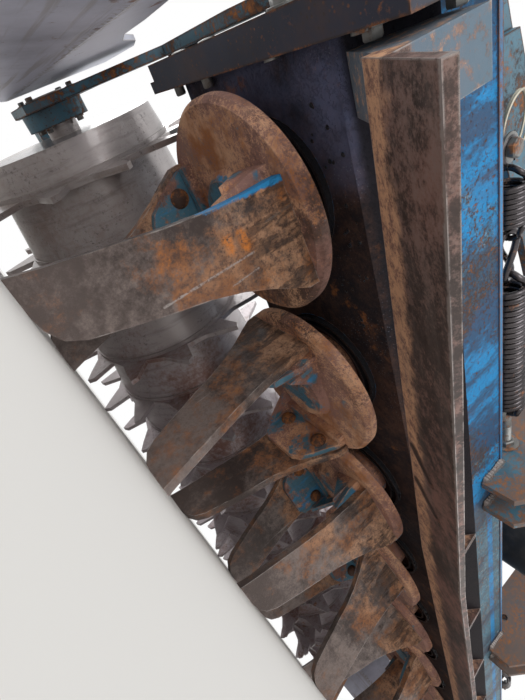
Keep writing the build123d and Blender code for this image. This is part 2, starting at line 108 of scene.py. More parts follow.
class HarrowColours(bpy.types.PropertyGroup):
    sky: colour("Sky paint", "Bright blue paint of the frame", 30, 132, 190)
    teal: colour("Teal paint", "Weathered blue paint", 66, 112, 132)
    navy: colour("Navy paint", "Dark blue-grey of shaded plates", 50, 54, 72)
    orange: colour("Orange rust", "Fresh rust", 158, 98, 50)
    brown: colour("Brown rust", "Old rust", 84, 60, 50)
    steel: colour("Brown steel", "Bare steel of the tines", 124, 110, 104)
    dark: colour("Dark steel", "Dark bare steel", 58, 46, 42)
    worn: colour("Worn steel", "Bright edges worn by soil", 168, 160, 156)
    drum: colour("Roller steel", "Soil-polished steel of the roller", 180, 170, 174)
    scale: colour("Scale", "Light grainy rust of the castings and tine heads", 214, 166, 130)
    crust: colour("Crust", "Dark crust between the rust of the castings", 134, 98, 88)
    ember: colour("Bright rust", "Bright rust spots", 214, 126, 44)
    # Painted light: sheet is a lighter copy of the side colour, laid only on the side plates' inner faces,
    # which lie in shade.
    sheet: colour("Inner sheet", "Inner faces of the side plates", 222, 224, 240)
    # shade: the near-black of the trough's underside, partly grime and partly painted shade.
    shade: colour("Trough shade", "Grimy underside of the trough", 28, 26, 32)
    side: colour("Side steel", "Grey sheet of the side plates", 120, 122, 134)
    spring: colour("Spring black", "Oiled spring steel", 84, 80, 82)
    guard: colour("Guard black", "Moulded shaft guard", 22, 22, 23)
    zinc: colour("Zinc", "Plated nuts and bolts", 150, 150, 148)
    wire: colour("Tie wire", "Pale tie wire", 186, 180, 164)
    rubber: colour("Seal rubber", "Rotor seal lips", 32, 32, 36)
    floor: colour("Floor", "Plain pale floor", 226, 224, 220)


class HarrowSizes(bpy.types.PropertyGroup):
    wire_long: length("Long spring wire", "Radius of the long spring's wire", 0.0052)
    wire_short: length("Short spring wire", "Radius of the short spring's wire", 0.0040)
    turns_long: count("Long spring turns", "Close turns of the long spring", 24)
    turns_short: count("Short spring turns", "Open turns of the short spring", 8)
    link_wire: length("Link wire", "Radius of the link between the springs", 0.0048)
    tine_bolt: length("Tine bolt", "Radius of the tine bolts' shanks", 0.0081)
    tine_head: length("Tine bolt head", "Radius of the domed bolt heads", 0.0135)
    bolt: length("Frame bolt", "Radius of the frame bolts' heads", 0.0110)
    weld: length("Weld", "Radius of a weld bead", 0.0042)
    tie: length("Tie wire", "Radius of the tie wire", 0.0016)


class HarrowCamera(bpy.types.PropertyGroup):
    place: vector("Place", "Where the camera stands", (1.22919, 0.73613, 0.005), unit="LENGTH")
    look: vector("Look", "Direction of view", (-0.56881, -0.75091, 0.33555), subtype="DIRECTION")
    up: vector("Up", "Upward direction in the picture", (0.7566, -0.31775, 0.57147), subtype="DIRECTION")
    lens: FloatProperty(name="Lens", description="Focal length in mm on a 36 mm sensor", default=22.22)
    shift: FloatProperty(name="Shift", description="Sideways shift that frames the picture", default=0.009)
    fill: FloatProperty(name="Fill", description="Strength of the sky on matt surfaces", default=0.85, min=0)


# ---- Surfaces ----


def place(x, y, z):
    """A point given in metres from the rotor line and the ground."""
    return np.array((x, y + LINE, z), float)


def unit(v):
    v = np.asarray(v, float)
    return v / np.linalg.norm(v, axis=-1, keepdims=True)


def across(axis):
    """Two unit vectors square to an axis and to each other."""
    axis = unit(axis)
    helper = UP if abs(axis[2]) < 0.9 else np.array((1.0, 0.0, 0.0))
    first = unit(np.cross(helper, axis))
    return first, np.cross(axis, first)


def around(count):
    """Even angles of one whole turn."""
    return np.linspace(0, TURN, count, endpoint=False)


def ring(x, radius, a):
    """Points of a circle round a place on the springs' line: (x + r*cos a, 0, r*sin a)."""
    return np.stack([x + radius * np.cos(a), 0 * a, radius * np.sin(a)], 1)


class Skin:
    """Gathers grids of points and makes them one closed mesh."""

    def __init__(self):
        self.points, self.faces, self.count = [], [], 0

    def grid(self, p, wrap_u=False, wrap_v=False, caps=False):
        """Adds points p of shape (u, v, 3); every cell of the grid becomes a face."""
        u, v = p.shape[:2]
        index = np.arange(u * v).reshape(u, v) + self.count
        cells = np.vstack([index, index[:1]]) if wrap_u else index
        cells = np.hstack([cells, cells[:, :1]]) if wrap_v else cells
        quads = np.stack([cells[:-1, :-1], cells[:-1, 1:], cells[1:, 1:], cells[1:, :-1]], -1)
        self.faces += quads.reshape(-1, 4).tolist()
        if caps:
            self.faces += [index[0].tolist(), index[-1].tolist()]
        self.points.append(p.reshape(-1, 3))
        self.count += u * v

    def lathe(self, profile, origin, axis, sides=24, start=0.0):
        """Turned part: p(h, a) = origin + h*axis + r(h)*(cos a*e1 + sin a*e2), its profile (r, h) pairs."""
        r, h = np.array(profile, float).T
        e1, e2 = across(axis)
        a = start + around(sides)
        circle = np.cos(a)[:, None] * e1 + np.sin(a)[:, None] * e2
        p = np.asarray(origin) + h[:, None, None] * unit(axis) + r[:, None, None] * circle
        self.grid(p, wrap_v=True, caps=True)

    def sweep(self, path, radius, sides=8, closed=False, up=(0, 1, 0)):
        """Round bar: p(s, a) = path(s) + radius(s)*(cos a*n(s) + sin a*b(s)), n and b square to the path."""
        path = np.asarray(path, float)
        t = unit(np.roll(path, -1, 0) - np.roll(path, 1, 0) if closed else np.gradient(path, axis=0))
        up = np.broadcast_to(np.asarray(up, float), t.shape)
        n = unit(up - (up * t).sum(1, keepdims=True) * t)
        b = np.cross(t, n)
        a = around(sides)[:, None]
        r = np.broadcast_to(np.asarray(radius, float), (len(path),))[:, None, None]
        p = path[:, None] + r * (np.cos(a) * n[:, None] + np.sin(a) * b[:, None])
        self.grid(p, wrap_u=closed, wrap_v=True, caps=not closed)

    def slab(self, outline, origin, first, second, depth):
        """Plate: p = origin + a*first + b*second + t*depth for (a, b) pairs as the outline, t from 0 to 1."""
        outline = np.array(outline, float)
        flat = np.asarray(origin) + outline[:, :1] * np.asarray(first) + outline[:, 1:] * np.asarray(second)
        self.grid(np.stack([flat, flat + np.asarray(depth)]), wrap_v=True, caps=True)

    def hex_head(self, origin, axis, radius, height, turn=0.0):
        """Hexagon head with a turned chamfer on a washer."""
        rim = radius * 1.45
        self.lathe([(0, 0), (rim, 0), (rim, 0.0022), (radius * 1.38, 0.0026), (0, 0.0026)], origin, axis, 20)
        self.lathe([(0, 0), (radius, 0), (radius, height * 0.82), (radius * 0.86, height), (0, height)],
                   np.asarray(origin) + unit(axis) * 0.0024, axis, 6, turn)

    def dome_head(self, origin, axis, radius, height):
        """Domed head: r(t) = radius*cos(t), h(t) = height*sin(t), on a short neck."""
        t = np.linspace(0, math.pi / 2, 7)
        profile = [(0, -0.001), (radius, -0.001)] + [(radius * math.cos(v), height * math.sin(v)) for v in t]
        self.lathe(profile, origin, axis, 20)

    def bead(self, start, end, radius, up, ripple=0.0045, seed=0):
        """Weld bead: a bar whose radius swings with its ripple, r(s) = r*(1 + 0.16*sin(2*pi*s/ripple))."""
        start, end = np.asarray(start, float), np.asarray(end, float)
        long = np.linalg.norm(end - start)
        s = np.linspace(0, 1, max(6, int(long / ripple * 3)))
        wave = 1 + 0.16 * np.sin(TURN * s * long / ripple) + 0.12 * np.sin(9 * s + seed)
        taper = np.clip(np.minimum(s, 1 - s) * long / 0.004, 0.25, 1)
        self.sweep(start + s[:, None] * (end - start), radius * wave * taper, 6, up=up)

    def make(self, name, material, body="frame", slot="bright_steel", smooth=40):
        """One mesh object of all that was gathered, with its faces outwards, riding on a body."""
        mesh = bpy.data.meshes.new(name)
        mesh.from_pydata(np.concatenate(self.points), [], self.faces)
        work = bmesh.new()
        work.from_mesh(mesh)
        bmesh.ops.remove_doubles(work, verts=work.verts, dist=1e-6)
        bmesh.ops.dissolve_degenerate(work, edges=work.edges, dist=1e-7)
        bmesh.ops.recalc_face_normals(work, faces=work.faces)
        work.to_mesh(mesh)
        work.free()
        mesh.polygons.foreach_set("use_smooth", [True] * len(mesh.polygons))
        mesh.set_sharp_from_angle(angle=math.radians(smooth))
        mesh.materials.append(material)
        piece = bpy.data.objects.new(name, mesh)
        bpy.context.scene.collection.objects.link(piece)
        if body:
            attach(piece, body)
        return piece


# ---- Shader sums ----


def joined(word, turned=False):
    """An operator that joins a socket and another, or a number, by one Math node; turned swaps the two."""
    def join(self, other):
        return self.shade.node("Math", (other, self) if turned else (self, other), operation=word)
    return join


class Value:
    """A socket of a shader; a sum of sockets and numbers adds Math nodes. | takes the higher, & the lower."""

    def __init__(self, shade, socket):
        self.shade, self.socket = shade, socket

    __add__ = __radd__ = joined("ADD")
    __mul__ = __rmul__ = joined("MULTIPLY")
    __or__ = __ror__ = joined("MAXIMUM")
    __and__ = __rand__ = joined("MINIMUM")
    __sub__, __rsub__ = joined("SUBTRACT"), joined("SUBTRACT", True)


class Shade:
    """The nodes of one material or world, added by one method; base holds the coats of colour laid so far."""

    def __init__(self, name, world=None):
        self.material = world or bpy.data.materials.new(name)
        self.material.use_nodes = True
        self.tree = self.material.node_tree
        self.shader = self.tree.nodes["Background" if world else "Principled BSDF"]
        if not world:
            self.spot = self.node("TexCoord", out="Object")
            self.normal = self.node("NewGeometry", out="Normal")

    def feed(self, made, inputs):
        """Links sockets, and sets numbers and colours, on a node's inputs."""
        for key, value in inputs.items() if isinstance(inputs, dict) else enumerate(inputs):
            if isinstance(value, Value):
                self.tree.links.new(value.socket, made.inputs[key])
            elif value is not None:
                made.inputs[key].default_value = value

    def node(self, kind, inputs=(), out=0, **settings):
        """Adds a shader node with its settings, feeds its inputs and gives one of its outputs."""
        made = self.tree.nodes.new("ShaderNode" + kind)
        for key, value in settings.items():
            setattr(made, key, value)
        self.feed(made, inputs)
        return Value(self, made.outputs[out])

    def part(self, vector, axis):
        return self.node("SeparateXYZ", (vector,), out=axis)

    def vectors(self, word, first, second=None, out=0):
        return self.node("VectorMath", (first, second), out=out, operation=word)

    def noise(self, scale, detail=6, rough=0.6, stretch=None, shift=0.0):
        """Cloudy noise; stretch draws it out along the axes where it is small, shift takes other clouds."""
        spot = self.vectors("MULTIPLY", self.spot, stretch) if stretch else self.spot
        if shift:
            spot = self.vectors("ADD", spot, (shift, shift * 0.7, -shift))
        return self.node("TexNoise", {"Vector": spot, "Scale": scale, "Detail": detail, "Roughness": rough})

    def cells(self, scale, feature="F1"):
        return self.node("TexVoronoi", {"Vector": self.spot, "Scale": scale}, feature=feature)

    def rise(self, value, low, high):
        """0 below low, 1 above high, smooth between; falls when low is above high."""
        return self.node("MapRange", (value, low, high, 0.0, 1.0), interpolation_type="SMOOTHSTEP")

    def patch(self, low, high, *noise, **more):
        """Patches of noise: 0 where it is below low, 1 where it is above high."""
        return self.rise(self.noise(*noise, **more), low, high)

    def mix(self, share, first, second):
        """A colour between two: the panel's colours by name, tuples or sockets."""
        first, second = (tint(c) if isinstance(c, str) else c for c in (first, second))
        first, second = ((*c, 1) if isinstance(c, tuple) else c for c in (first, second))
        return self.node("Mix", {0: share, 6: first, 7: second}, out=2, data_type="RGBA")

    def lay(self, share, coat):
        """Lays a coat of colour over those before it, where its share is above 0."""
        self.base = self.mix(share, self.base, coat)

    def far(self, start, end):
        """Distance from the line between two points: |d - u*clamp(d.u/u.u)|, d from its start, u along it."""
        along = Vector(end) - Vector(start)
        away = self.vectors("SUBTRACT", self.spot, start)
        share = self.vectors("DOT_PRODUCT", away, tuple(along / along.length_squared), "Value")
        foot = self.node("VectorMath", {0: tuple(along), 3: (share | 0.0) & 1.0}, operation="SCALE")
        return self.vectors("LENGTH", self.vectors("SUBTRACT", away, foot), out="Value")

    def edge(self, radius):
        """1 near the piece's sharp edges, found by rounding its normal over a small radius."""
        soft = self.node("Bevel", {"Radius": radius}, samples=6)
        return self.rise(1.0 - self.vectors("DOT_PRODUCT", soft, self.normal, "Value"), 0.004, 0.06)

    def bump(self, height, strength, distance, normal=None):
        values = {"Strength": strength, "Distance": distance, "Height": height, "Normal": normal}
        return self.node("Bump", values)

    def finish(self, rough, metal=0.0, normal=None, coat=0.0, gloss=0.5):
        """Gives the shader its coats of colour and the rest, and returns the material."""
        self.feed(self.shader, {"Base Color": self.base, "Roughness": rough, "Metallic": metal,
                                "Normal": normal, "Coat Weight": coat, "Specular IOR Level": gloss})
        return self.material


def tint(name, times=1.0):
    """A colour of the panel by its name, made lighter or darker by a factor."""
    return tuple(times * c for c in getattr(bpy.context.scene.harrow_colours, name))


def dress(material, *nodes):
    """Gives CAD nodes a material through their objects' material slots."""
    for name in nodes:
        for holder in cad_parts[name].material_slots:
            holder.material = material


# ---- Materials ----


def painted(name, paint, under, left, rough=0.5, grain=0.0, grime=0.7, shift=0.0):
    """Old paint: chipped to its under-colour in patches and along edges, with rust dots and grime."""
    s = Shade(name)
    broad = s.noise(5, 7, 0.62, shift=shift)
    fine = s.noise(110, 7, 0.75, shift=shift + 3)
    bare = s.rise(broad * 0.6 + fine * 0.4 + s.edge(0.004) * 0.22, left + 0.02, left + 0.10)
    dots = s.rise(s.cells(170), 0.30, 0.16) * s.patch(0.48, 0.62, 14, 3, shift=shift)
    s.base = s.mix(s.patch(0.35, 0.66, 2.4, 5, shift=shift), paint, tint(paint, 0.62))
    s.lay(s.patch(0.44, 0.74, 9, 8, 0.7, shift=7) * grime, "brown")
    rusty = s.mix(s.rise(fine, 0.42, 0.68), under, "orange")
    s.lay(dots * 0.8 | bare, s.mix(s.patch(0.38, 0.56, 22, 6), under, rusty))
    normal = s.bump(1.0 - bare * 0.55 + s.noise(260, 4) * (0.10 + grain), 0.5, 0.0009)
    return s.finish(bare * 0.34 + s.noise(30, 4) * 0.2 + (rough - 0.1), 0.0, normal)


def tine_steel():
    """Forged tine: brown steel under grainy rust, gouged at the head with painted shade, worn tip, scratches.

    The near tine also keeps a blue lip along its front edge, two scratches and two bright rust spots.
    """
    lip_line = (1.1105, 0.3564, 0.178), (1.1066, 0.3568, 0.272)
    scratches = (((1.0572, 0.371, 0.0989), (1.0546, 0.3713, 0.2085), 0.0017),
                 ((1.0366, 0.3735, 0.1715), (1.0374, 0.3734, 0.2066), 0.0013))
    embers = (((1.078, 0.3685, 0.187), (1.068, 0.370, 0.187)),
              ((1.077, 0.3685, 0.204), (1.063, 0.370, 0.204)))
    s = Shade("tine_steel_worn")
    x, z = s.part(s.spot, 0), s.part(s.spot, 2)
    broad = s.noise(7, 7, 0.62)
    fine = s.noise(70, 9, 0.8)
    grain = s.noise(280, 6, 0.8, shift=2)
    ripple = (fine - 0.5) * 0.01
    s.base = s.mix(s.rise(broad * 0.6 + fine * 0.4, 0.42, 0.58), "dark", "steel")
    head = s.rise(z + (broad - 0.5) * 0.2, 0.10, 0.24)
    rust = s.rise(s.noise(9, 9, 0.76, shift=5) + head * 0.12, 0.50, 0.62)
    light = s.mix(head * s.patch(0.36, 0.56, 16, 5, shift=13), "orange", "scale")
    s.lay(rust * 0.85, s.mix(s.rise(fine * 0.5 + grain * 0.5, 0.40, 0.58), "brown", light))
    specks = s.rise(fine * 0.4 + grain * 0.6, 0.52, 0.60) * s.patch(0.50, 0.60, 13, 6, 0.7, shift=15)
    s.lay(specks * rust * 0.6, "ember")
    s.lay(s.rise(grain, 0.48, 0.58) * 0.30, "dark")
    s.lay(s.rise(z + (broad - 0.5) * 0.06, 0.10, 0.02) * 0.25, "steel")
    gouges = s.patch(0.50, 0.58, 38, 6, 0.7, (1, 1, 0.25), 7) * s.rise(z, 0.19, 0.23)
    # Painted shade: the gouges are darkened.
    s.lay(gouges * 0.7, "dark")
    marks = s.patch(0.62, 0.72, 170, 3, 0.5, (1, 1, 0.05)) * s.patch(0.50, 0.62, 5, 3, shift=9) * 0.6
    for start, end, wide in scratches:
        marks = marks | s.rise(s.far(start, end) + ripple * 0.4, wide, wide * 0.3) * s.rise(grain, 0.40, 0.54)
    s.lay(marks * 0.8, "worn")
    for start, end in embers:
        spot = s.rise(s.far(start, end) + ripple * 1.6, 0.0085, 0.0015)
        s.lay(spot * s.rise(grain, 0.38, 0.56) * 0.8, "ember")
    plugs = s.rise(z, 0.229, 0.233) * s.rise(z, 0.257, 0.253)
    wear = s.edge(0.0020) * s.patch(0.42, 0.58, 26, 5) * (1.0 - plugs)
    s.lay(wear * 0.85, "worn")
    lip = s.rise(s.far(*lip_line) + ripple * 0.6 - (z - 0.178) * 0.03, 0.0085, 0.0070)
    s.lay(lip * s.rise(x, 1.0, 1.05), "sky")
    height = fine * 0.8 + broad * 0.8 + grain * 0.3 - gouges * 2.0 - marks * 0.2
    return s.finish(0.50 + rust * 0.30 - wear * 0.10, (1.0 - rust) * 0.22, s.bump(height, 0.85, 0.0015))


def rotor_casting():
    """Cast rotor: fine scaly rust on the disc, brushed blue paint left on the webs and by the neck."""
    s = Shade("rotor_cast_rusty")
    scale = s.noise(60, 10, 0.84)
    grain = s.noise(300, 7, 0.84, shift=8)
    broad = s.noise(6, 6, 0.6, shift=1)
    s.base = s.mix(s.rise(broad * 0.55 + scale * 0.45, 0.38, 0.54), "brown", tint("crust", 1.25))
    rust = s.rise(scale * 0.4 + grain * 0.6 + (s.noise(9, 5, shift=3) - 0.5) * 0.5, 0.48, 0.56)
    s.lay(rust * 0.85, s.mix(s.patch(0.36, 0.56, 17, 6, shift=5), "orange", "scale"))
    s.lay(s.rise(grain, 0.54, 0.62) * s.patch(0.48, 0.60, 11, 6, 0.7, shift=15) * 0.5, "ember")
    s.lay(s.patch(0.57, 0.70, 12, 6, 0.6, (1, 1, 0.3), 6) * 0.35, "steel")
    brushed = s.noise(46, 6, 0.7, (1, 1, 0.14), 2)
    paint = s.mix(s.rise(brushed + (s.noise(14, 5, shift=2) - 0.5) * 0.6, 0.58, 0.74), "teal", "sky")
    paint = s.mix(s.rise(brushed, 0.50, 0.38) * 0.6, paint, "brown")
    below = s.rise(s.part(s.spot, 2), DISC, DISC - 0.017)
    kept = s.rise(s.noise(11, 9, 0.7, shift=11) + below * 0.17 + (brushed - 0.5) * 0.14
                  - s.edge(0.003) * 0.12, 0.61, 0.67)
    s.lay(kept * (1.0 - s.rise(grain, 0.56, 0.66) * 0.6), paint)
    s.lay(s.edge(0.0018) * s.rise(scale, 0.46, 0.60) * 0.6, "steel")
    crust = s.rise(s.cells(120, "SMOOTH_F1"), 0.05, 0.55)
    height = scale * 0.9 + grain * 0.5 + crust * 0.4 + kept * 0.3
    return s.finish(0.84 - kept * 0.36, 0.0, s.bump(height, 0.8, 0.0017))


def trough_paint():
    """Trough: grime and painted shade below, dark seal lips, weathered blue walls, grit under its right end.
    """
    s = Shade("trough_blue_grimy")
    x, z = s.part(s.spot, 0), s.part(s.spot, 2)
    facing_down = s.rise(s.part(s.normal, 2) * -1.0, 0.30, 0.60)
    fine = s.noise(55, 9, 0.76)
    grain = s.noise(240, 6, 0.8, shift=6)
    broad = s.noise(5, 6, 0.62)
    plain = s.rise(x + (broad - 0.5) * 0.3, 0.38, 0.46)
    high = z - 0.464
    band = s.rise(high * high, 1.2e-4, 4.0e-5) * (1.0 - plain)
    blue = band | plain * s.rise(broad, 0.42, 0.54)
    s.base = s.mix(blue, tint("teal", 1.15), "sky")
    s.lay(s.patch(0.50, 0.57, 300, 5, 0.8, (1, 1, 0.45), 5) * (1.0 - blue * 0.8) * 0.75, "dark")
    s.lay(s.patch(0.56, 0.62, 270, 5, 0.8, (1, 1, 0.45), 9) * (1.0 - blue * 0.9) * 0.65, "wire")
    s.lay(s.patch(0.46, 0.56, 9, 9, 0.76, (1, 1, 0.4), 14) * 0.75, "navy")
    s.lay(s.patch(0.46, 0.70, 26, 8, 0.7, (1, 1, 0.16), 8) * 0.35, "brown")
    worn = s.rise(broad, 0.62, 0.40) * 0.08 + s.edge(0.005) * 0.06
    chips = s.rise(s.noise(160, 7, 0.8, shift=4) + worn, 0.56, 0.62)
    s.lay(chips, s.mix(s.rise(fine, 0.50, 0.68), "brown", "orange"))
    wall = s.base
    # Underside: near-black, partly grime and partly painted shade.
    s.base = s.mix(s.rise(broad * 0.4 + fine * 0.4 + grain * 0.2, 0.40, 0.62), "shade", "brown")
    # Painted reflection: the underside turns a pale bluish grey towards its right end, standing in for the
    # sky mirrored there.
    near = s.rise(x + (broad - 0.5) * 0.3, 1.02, 1.16)
    s.lay(near * s.rise(broad, 0.30, 0.56) * 0.8, tint("navy", 3.4))
    grit = s.rise(s.cells(230), 0.26, 0.10) * s.patch(0.46, 0.60, 9, 6, 0.7, shift=3)
    s.lay(grit * 0.5, "side")
    s.lay(s.patch(0.57, 0.67, 12, 9, 0.74, shift=12) * 0.6, "orange")
    # Painted shade: the sloping bevel above the underside is darkened almost to the shade colour.
    s.lay(s.rise(z, FLOOR + 0.002, FLOOR + 0.012) * 0.92, "shade")
    s.base = s.mix(facing_down, wall, s.base)
    lip = s.rise(z, FLOOR - 0.0002, FLOOR - 0.0008)
    s.lay(lip, "rubber")
    normal = s.bump(fine * 0.6 + grain * 0.2 + grit * 0.6 - chips * 0.5, 0.7, 0.0015)
    return s.finish(0.64 + facing_down * 0.12 - lip * 0.44, 0.0, normal, gloss=0.2)


def front_bar_steel():
    """Front bar: dark brown plate, orange rear edge, worn front corner with a painted highlight, two dents.
    """
    dent_lines = (((0.703, 0.191), (0.666, 0.221)), ((0.617, 0.186), (0.579, 0.223)))
    s = Shade("front_bar_worn")
    x, y, z = (s.part(s.spot, axis) for axis in range(3))
    bend = s.node("MapRange", (x, 0.370, 1.185, 0.0, 1.0))
    rear = y - (LINE + 0.160) - bend * 0.049
    front = (0.100 + bend * 0.009) - rear
    fine = s.noise(60, 9, 0.78)
    grain = s.noise(260, 6, 0.8, shift=3)
    broad = s.noise(6, 6, 0.6)
    s.base = s.mix(s.rise(broad * 0.4 + fine * 0.4 + grain * 0.2, 0.45, 0.57), "dark", "crust")
    near = s.rise(x + (broad - 0.5), 0.6, 1.2)
    s.lay(near * s.rise(fine * 0.5 + grain * 0.5, 0.44, 0.58) * 0.55, "steel")
    rust = s.rise(rear + (s.noise(22, 9, 0.76) - 0.5) * 0.08, 0.042, 0.020)
    s.lay(rust * 0.9, s.mix(s.rise(fine * 0.6 + grain * 0.4, 0.42, 0.54), "crust", "scale"))
    s.lay(s.patch(0.50, 0.66, 26, 8, 0.7, (0.12, 1, 1), 5) * 0.30, "steel")
    # Painted shade: the face turned to the front is darkened.
    front_face = s.rise(s.part(s.normal, 1), 0.5, 0.8)
    s.lay(front_face * s.rise(fine, 0.60, 0.46) * 0.8, "dark")
    # Wear and painted highlight: a bright, irregular strip along the front corner.
    corner = s.rise(front + (s.noise(40, 8, 0.75) - 0.5) * 0.012, 0.005, 0.002) * (1.0 - front_face)
    bright = corner | s.edge(0.0024) * s.patch(0.40, 0.55, 30, 6, 0.7)
    s.lay(bright * 0.9, "worn")
    tube = s.rise(x, 1.122, 1.127) * s.rise(z, 0.309, 0.314)
    s.lay(tube * s.rise(fine, 0.62, 0.50) * 0.85, s.mix(broad, "teal", "side"))
    dents = 0.0
    for (x0, y0), (x1, y1) in dent_lines:
        gap = s.far((x0, LINE + y0, 0.300), (x1, LINE + y1, 0.288)) + (fine - 0.5) * 0.004
        dents = s.rise(gap, 0.0150, 0.0040) | dents
        s.lay(s.rise(gap, 0.0150, 0.0110) * 0.55, "crust")
        # Painted shade: the cores of the dents are darkened nearly to black.
        s.lay(s.rise(gap, 0.0100, 0.0060) * 0.85, tint("dark", 0.3))
    normal = s.bump(fine * 0.6 + broad * 0.5, 0.5, 0.0012, s.bump(1.0 - dents, 1.0, 0.006))
    return s.finish(0.60 - bright * 0.26 + rust * 0.2, bright * 0.3 + 0.15, normal)


def soil_polished(name, shift, rusty):
    """Steel polished by soil: smooth brown metal with pits and bright rims, more rust towards the left."""
    s = Shade(name)
    x = s.part(s.spot, 0)
    fine = s.noise(80, 9, 0.76, shift=shift)
    broad = s.noise(4, 6, 0.6, shift=shift)
    s.base = s.mix(s.rise(broad * 0.6 + fine * 0.4, 0.38, 0.54), "crust", "drum")
    # Partly polish and partly painted reflection: paler towards the right end, where the sky is mirrored.
    s.lay(s.rise(x + (broad - 0.5) * 1.2, 0.4, 1.1) * 0.7, "worn")
    rust = s.rise(s.noise(13, 9, 0.74, shift=shift + 6) - s.rise(x, -0.7, 0.9) * 0.10, rusty, rusty + 0.08)
    s.lay(rust * 0.9, s.mix(s.rise(fine, 0.40, 0.58), "brown", "orange"))
    scores = s.patch(0.50, 0.66, 60, 5, 0.65, (1.6, 0.15, 0.15), shift)
    s.lay(scores * (1.0 - rust) * 0.22, "dark")
    pits = s.patch(0.54, 0.62, 150, 6, 0.8, shift=shift + 2) * s.patch(0.42, 0.58, 10, 5, shift=shift + 2)
    s.lay(pits * 0.6, "dark")
    s.lay(s.edge(0.0025) * (1.0 - rust) * 0.8, "worn")
    normal = s.bump(fine * 0.35 - scores * 0.12 + rust * 0.5 - pits * 0.6, 0.5, 0.0010)
    return s.finish(0.24 + broad * 0.10 + rust * 0.40 + fine * 0.12, (1.0 - rust) * 0.40, normal, 0.3)


def side_sheet():
    """Side plate: grey sheet, scratched low strip, pale speckles along its fold and runs of grime above."""
    s = Shade("side_sheet_grey")
    z = s.part(s.spot, 2)
    low = s.rise(z, 0.199, 0.191)
    broad = s.noise(4.5, 6, 0.6)
    fine = s.noise(80, 7, 0.7)
    # Painted light: the inner faces, which lie in shade, get the lighter sheet colour and fewer navy clouds
    # and runs of grime.
    inner = s.rise(s.part(s.normal, 0) * s.part(s.spot, 0), 0.1, -0.1)
    outer = 1.0 - inner * 0.6
    s.base = s.mix(s.rise(broad, 0.42, 0.68) * outer, s.mix(inner, "side", "sheet"), "navy")
    s.lay(s.patch(0.50, 0.70, 17, 7, 0.66, (1, 1, 0.10)) * (1.0 - low) * outer * 0.45, "brown")
    rubs = s.patch(0.50, 0.66, 70, 4, 0.6, (1, 0.05, 1), 3) * low
    s.lay(rubs * 0.5, "worn")
    s.lay(s.rise(z, 0.186, 0.195) * s.rise(z, 0.206, 0.197) * s.patch(0.44, 0.60, 190, 3) * 0.8, "worn")
    spots = s.patch(0.60, 0.67, 24, 9, 0.7, shift=9)
    s.lay(spots * 0.7, s.mix(s.rise(fine, 0.4, 0.6), "brown", "orange"))
    s.lay(s.edge(0.003) * 0.8, "worn")
    normal = s.bump(fine * 0.3 - rubs * 0.4 + broad * 0.6, 0.4, 0.0012)
    return s.finish(0.42 + spots * 0.3 + low * 0.06, (1.0 - spots) * 0.45, normal)


def bare_steel(name, metal_colour="zinc", rust=0.50, rough=0.4, metal=0.8, grain=140):
    """Small steel fittings: one metal in lighter and darker clouds, with rust in spots."""
    s = Shade(name)
    fine = s.noise(grain, 7, 0.7)
    spots = s.patch(rust, rust + 0.10, 38, 8, 0.7, shift=2)
    s.base = s.mix(s.patch(0.36, 0.64, 20, 5), metal_colour, tint(metal_colour, 0.6))
    s.lay(spots * 0.9, s.mix(s.rise(fine, 0.4, 0.6), "brown", "orange"))
    return s.finish(rough + spots * 0.35 + fine * 0.1, metal * (1.0 - spots), s.bump(fine, 0.35, 0.0005))


def moulded(name, plastic):
    """Moulded plastic: dull black with fine texture, dust and grey rubs on its edges."""
    s = Shade(name)
    dust = s.patch(0.46, 0.72, 12, 7, 0.7)
    s.base = s.mix(dust * 0.18, plastic, "steel")
    s.lay(s.edge(0.002) * 0.3, "side")
    return s.finish(0.50 + dust * 0.2, 0.0, s.bump(s.noise(420, 3), 0.3, 0.0004))


# ---- Operators ----


